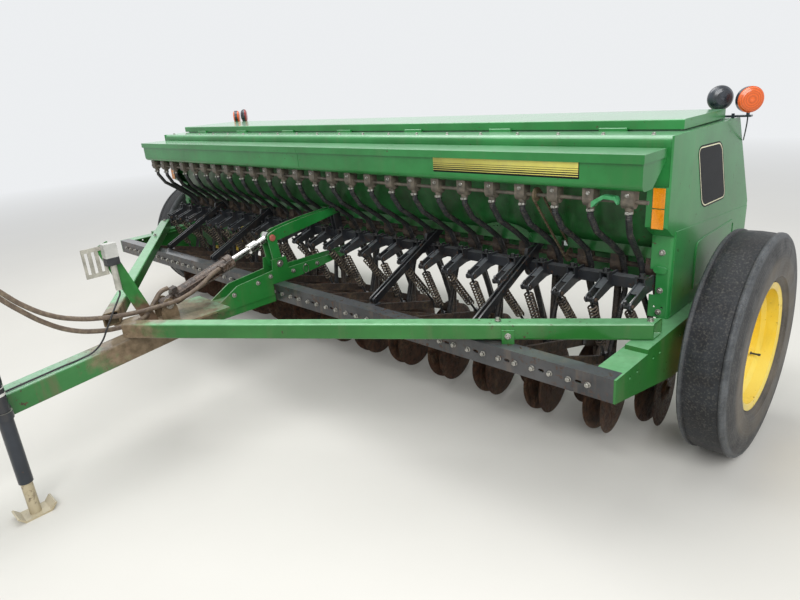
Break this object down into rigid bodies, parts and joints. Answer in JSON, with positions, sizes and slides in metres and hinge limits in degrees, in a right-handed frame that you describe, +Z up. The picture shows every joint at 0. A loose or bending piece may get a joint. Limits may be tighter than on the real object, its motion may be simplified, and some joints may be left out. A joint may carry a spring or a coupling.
{
  "type": "seed drill",
  "caption": "Towed grain drill: long seed box with a grass seed box in front, double disc openers in two ranks on a hydraulic lift, end wheels and a jack on the drawbar.",
  "frame": {"origin": "on the ground, under the middle of the bounding box", "axes": "+Z up, the drawbar points toward -Y and the drill is towed that way, +X is its left side"},
  "size_m": [4.5924, 3.5959, 1.5139],
  "materials": {
    "body_paint": "satin",
    "frame_paint": "satin",
    "black_steel": "satin",
    "worn_steel": "matte",
    "cast_brown": "matte",
    "tube_rubber": "matte",
    "seed_rubber": "matte",
    "chrome": "gloss",
    "lever_green": "satin",
    "rim_yellow": "satin",
    "tyre": "matte",
    "jack_black": "satin",
    "jack_tan": "matte",
    "amber": "gloss",
    "hose": "matte",
    "grey_metal": "satin"
  },
  "bodies": {
    "frame": {"hopper": "body_paint", "end_panel_left": "body_paint", "end_panel_right": "body_paint", "grass_box_left": "body_paint", "grass_box_right": "body_paint", "grass_feed": "grey_metal", "grass_tubes": "tube_rubber", "seed_meters": "cast_brown", "seed_tubes": "seed_rubber", "feed_drive": "grey_metal", "front_channel": "black_steel", "end_bracket_left": "body_paint", "end_bracket_right": "body_paint", "draft_braces": "black_steel", "main_tube": "body_paint", "a_frame_left": "frame_paint", "a_frame_right": "frame_paint", "drawbar": "frame_paint", "mast": "body_paint", "hose_stand": "jack_tan", "lift_barrel": "cast_brown", "spindles": "grey_metal", "lamps": "amber", "footboard": "body_paint", "hose_upper": "hose", "hose_lower": "hose", "light_cable": "hose", "hose_ends": "grey_metal"},
    "main_lid": {"main_lid": "body_paint"},
    "grass_lid_left": {"grass_lid_left": "body_paint"},
    "grass_lid_right": {"grass_lid_right": "body_paint"},
    "lift_rod": {"lift_rod": "chrome"},
    "lift_lever": {"lift_lever": "lever_green"},
    "lift_link": {"lift_link": "lever_green"},
    "rockshaft": {"rockshaft": "black_steel"},
    "openers": {"front_arms": "worn_steel", "front_discs": "worn_steel", "front_rods": "black_steel", "front_springs": "worn_steel", "rear_arms": "worn_steel", "rear_discs": "worn_steel", "rear_rods": "black_steel", "rear_springs": "worn_steel"},
    "wheel_left": {"rim_left": "rim_yellow", "tyre_left": "tyre"},
    "wheel_right": {"rim_right": "rim_yellow", "tyre_right": "tyre"},
    "jack": {"jack_tube": "jack_black"},
    "jack_leg": {"jack_leg": "jack_tan"}
  },
  "joints": [
    {"name": "opener_lift", "type": "hinge", "parent": "frame", "child": "openers", "pos_m": [0, 0.223, 0.575], "axis": [1, 0, 0], "range_deg": [-10, 0], "deforming": ["grass_tubes", "seed_tubes"]},
    {"name": "rockshaft_turn", "type": "hinge", "parent": "frame", "child": "rockshaft", "pos_m": [0, 0.668, 0.79], "axis": [-1, 0, 0], "range_deg": [-20.2, 0.2]},
    {"name": "lever_turn", "type": "hinge", "parent": "frame", "child": "lift_lever", "pos_m": [0, 0.181, 0.729], "axis": [-1, 0, 0], "range_deg": [-20.2, 0.2]},
    {"name": "link_swing", "type": "hinge", "parent": "lift_lever", "child": "lift_link", "pos_m": [0, 0.161, 0.879], "axis": [-1, 0, 0], "range_deg": [-0.2, 20.2]},
    {"name": "rod_slide", "type": "slide", "parent": "frame", "child": "lift_rod", "axis": [0, 0.9602, 0.2793], "range_m": [-0.053, 0.001]},
    {"name": "main_lid_hinge", "type": "hinge", "parent": "frame", "child": "main_lid", "pos_m": [0, 0.793, 1.384], "axis": [1, 0, 0], "range_deg": [0, 95]},
    {"name": "grass_lid_left_hinge", "type": "hinge", "parent": "frame", "child": "grass_lid_left", "pos_m": [0, 0.612, 1.334], "axis": [-1, 0, 0], "range_deg": [0, 70]},
    {"name": "grass_lid_right_hinge", "type": "hinge", "parent": "frame", "child": "grass_lid_right", "pos_m": [0, 0.612, 1.334], "axis": [-1, 0, 0], "range_deg": [0, 70]},
    {"name": "wheel_left_spin", "type": "hinge", "parent": "frame", "child": "wheel_left", "pos_m": [2.1932, 0.998, 0.479], "axis": [1, 0, 0], "continuous": true},
    {"name": "wheel_right_spin", "type": "hinge", "parent": "frame", "child": "wheel_right", "pos_m": [-2.1932, 0.998, 0.479], "axis": [1, 0, 0], "continuous": true},
    {"name": "jack_swing", "type": "hinge", "parent": "frame", "child": "jack", "pos_m": [0.114, -1.282, 0.48052], "axis": [1, 0, 0], "range_deg": [0, 90]},
    {"name": "jack_leg_slide", "type": "slide", "parent": "jack", "child": "jack_leg", "axis": [0, 0, 1], "range_m": [0, 0.14]}
  ],
  "couplings": [
    {"joint": "rockshaft_turn", "follows": "opener_lift", "ratio": 2},
    {"joint": "lever_turn", "follows": "opener_lift", "ratio": 2},
    {"joint": "link_swing", "follows": "opener_lift", "ratio": -2},
    {"joint": "rod_slide", "follows": "opener_lift", "m_per_rad": 0.30103}
  ]
}
